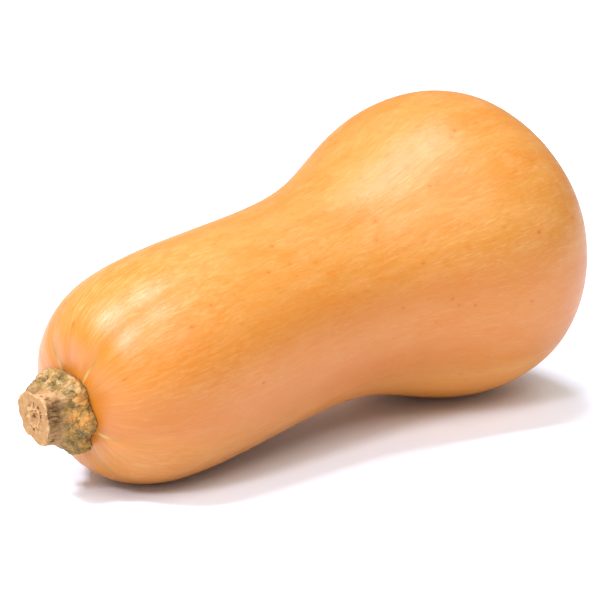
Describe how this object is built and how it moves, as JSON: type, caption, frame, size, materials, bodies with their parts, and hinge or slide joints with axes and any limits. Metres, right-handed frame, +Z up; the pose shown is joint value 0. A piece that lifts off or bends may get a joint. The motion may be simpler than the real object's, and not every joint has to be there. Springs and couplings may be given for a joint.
{
  "type": "butternut squash",
  "caption": "Whole butternut squash lying on its side: a long smooth neck widens into a round bulb, and a corky ridged stem is left on the neck end.",
  "frame": {"origin": "bottom centre of the squash's box, on the ground that it lies on", "axes": "+X along the squash from the cut stem to the blossom end, +Y across it, +Z up"},
  "size_m": [0.2444, 0.1214, 0.12],
  "materials": {
    "squash_skin": "smooth waxy skin, semi-gloss",
    "stem_cork": "rough dry cork"
  },
  "bodies": {
    "root": {"fruit": "squash_skin", "stem": "stem_cork"}
  },
  "joints": []
}
